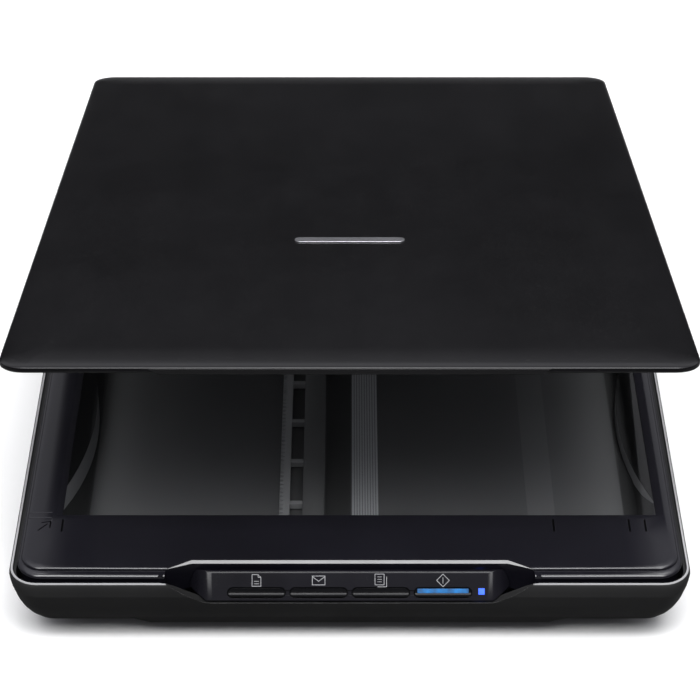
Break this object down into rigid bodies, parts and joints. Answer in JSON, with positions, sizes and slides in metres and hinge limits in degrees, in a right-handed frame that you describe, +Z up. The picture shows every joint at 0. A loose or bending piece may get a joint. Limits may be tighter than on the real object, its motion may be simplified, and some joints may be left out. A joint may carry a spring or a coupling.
{
  "type": "flatbed scanner",
  "caption": "Slim flatbed document scanner with a raised hinged lid, glass bed, sloped button panel, fold-out stand and a geared scanning carriage.",
  "frame": {"origin": "centre of the lower case's footprint, on the table surface under the feet", "axes": "+X is the scanner's right side, +Y its rear with the lid hinge, +Z up"},
  "size_m": [0.249, 0.364, 0.1202],
  "materials": {
    "case_plastic": "fine sparked texture, dark grey",
    "frame_plastic": "satin black with a fine texture",
    "panel_plastic": "satin black",
    "lid_plastic": "black, finely textured",
    "inside_plastic": "smooth moulded grey",
    "carriage_plastic": "smooth black, glass filled",
    "button_plastic": "satin black",
    "switch_plastic": "black moulded",
    "chip_plastic": "moulded package",
    "acetal": "natural white acetal",
    "white_film": "printed white film",
    "mat_foam": "white film over foam",
    "flat_cable": "film with bright conductors",
    "circuit_board": "green solder mask",
    "black_tape": "double-sided tape",
    "blue_lens": "translucent blue",
    "blue_light": "lit blue light pipe",
    "foot_rubber": "matte black",
    "bed_glass": "clear float glass",
    "lens_glass": "moulded optic",
    "screw_steel": "zinc plated",
    "motor_steel": "zinc plated can",
    "pinion_brass": "cut brass",
    "badge_metal": "satin silver"
  },
  "bodies": {
    "case": {"base_case": "case_plastic", "top_frame": "frame_plastic", "platen_glass": "bed_glass", "glass_tape": "black_tape", "calibration_strip": "white_film", "control_panel": "panel_plastic", "status_light": "blue_light", "button_board": "circuit_board", "tact_switches": "switch_plastic", "button_board_screws": "screw_steel", "guide_rail": "inside_plastic", "gear_rack": "inside_plastic", "ribbon_cable": "flat_cable", "ribbon_connector": "acetal", "main_board": "circuit_board", "board_chips": "chip_plastic", "usb_socket": "screw_steel", "main_board_screws": "screw_steel", "case_screws": "screw_steel", "rubber_feet": "foot_rubber", "kickstand_pins": "screw_steel"},
    "stand": {"kickstand": "case_plastic"},
    "document_key": {"button_document": "button_plastic"},
    "email_key": {"button_email": "button_plastic"},
    "copy_key": {"button_copy": "button_plastic"},
    "start_key": {"button_start": "button_plastic", "start_button_lens": "blue_lens"},
    "carriage": {"carriage_frame": "carriage_plastic", "rail_slider": "acetal", "drive_motor": "motor_steel", "motor_screws": "screw_steel", "gear_axles": "screw_steel", "cable_tail": "flat_cable", "sensor_springs": "screw_steel"},
    "sensor": {"sensor_housing": "carriage_plastic", "sensor_window": "bed_glass", "rod_lens_array": "lens_glass", "light_guide": "lens_glass", "sensor_board": "circuit_board", "sensor_pads": "acetal"},
    "motor_rotor": {"motor_shaft": "screw_steel", "motor_pinion": "pinion_brass"},
    "first_reduction": {"first_reduction_gear": "acetal"},
    "second_reduction": {"second_reduction_gear": "acetal"},
    "drive": {"drive_gear": "acetal"},
    "hinge_riser": {"hinge_posts": "button_plastic", "hinge_pins": "screw_steel"},
    "lid": {"hinge_leaves": "screw_steel", "hinge_leaf_screws": "screw_steel", "lid_cover": "lid_plastic", "lid_inner_panel": "inside_plastic", "document_mat": "mat_foam", "lid_badge": "badge_metal", "lid_screws": "screw_steel", "lid_bumpers": "foot_rubber"}
  },
  "joints": [
    {"name": "stand_swing", "type": "hinge", "parent": "case", "child": "stand", "pos_m": [0, 0.16, 0.0034], "axis": [1, 0, 0], "range_deg": [0, 80]},
    {"name": "document_press", "type": "slide", "parent": "case", "child": "document_key", "axis": [0, 0.766, -0.6428], "range_m": [0, 0.0004], "stiffness_N_per_m": 900},
    {"name": "email_press", "type": "slide", "parent": "case", "child": "email_key", "axis": [0, 0.766, -0.6428], "range_m": [0, 0.0004], "stiffness_N_per_m": 900},
    {"name": "copy_press", "type": "slide", "parent": "case", "child": "copy_key", "axis": [0, 0.766, -0.6428], "range_m": [0, 0.0004], "stiffness_N_per_m": 900},
    {"name": "start_press", "type": "slide", "parent": "case", "child": "start_key", "axis": [0, 0.766, -0.6428], "range_m": [0, 0.0004], "stiffness_N_per_m": 900},
    {"name": "carriage_travel", "type": "slide", "parent": "case", "child": "carriage", "axis": [0, 1, 0], "range_m": [0, 0.3]},
    {"name": "sensor_float", "type": "slide", "parent": "carriage", "child": "sensor", "axis": [0, 0, -1], "range_m": [0, 0.0008], "stiffness_N_per_m": 1500, "springref_m": -0.0008, "deforming": ["sensor_springs"]},
    {"name": "motor_spin", "type": "hinge", "parent": "carriage", "child": "motor_rotor", "pos_m": [-0.0782, -0.16, 0.0115], "axis": [0, 0, 1], "range_deg": [0, 26091]},
    {"name": "first_gear_spin", "type": "hinge", "parent": "carriage", "child": "first_reduction", "pos_m": [-0.0644, -0.16, 0.011], "axis": [0, 0, 1], "range_deg": [-9209, 0]},
    {"name": "second_gear_spin", "type": "hinge", "parent": "carriage", "child": "second_reduction", "pos_m": [-0.0494, -0.16, 0.009], "axis": [0, 0, 1], "range_deg": [0, 3581]},
    {"name": "drive_gear_spin", "type": "hinge", "parent": "carriage", "child": "drive", "pos_m": [-0.0358, -0.16, 0.0076], "axis": [0, 0, 1], "range_deg": [-1954, 0]},
    {"name": "hinge_rise", "type": "slide", "parent": "case", "child": "hinge_riser", "axis": [0, 0, 1], "range_m": [0, 0.012]},
    {"name": "lid_tilt", "type": "hinge", "parent": "hinge_riser", "child": "lid", "pos_m": [0, 0.172, 0.035], "axis": [-1, 0, 0], "range_deg": [-13.4, 76.6]}
  ],
  "couplings": [
    {"joint": "drive_gear_spin", "follows": "carriage_travel", "rad_per_m": -113.64},
    {"joint": "second_gear_spin", "follows": "carriage_travel", "rad_per_m": 208.33},
    {"joint": "first_gear_spin", "follows": "carriage_travel", "rad_per_m": -535.71},
    {"joint": "motor_spin", "follows": "carriage_travel", "rad_per_m": 1517.9}
  ]
}
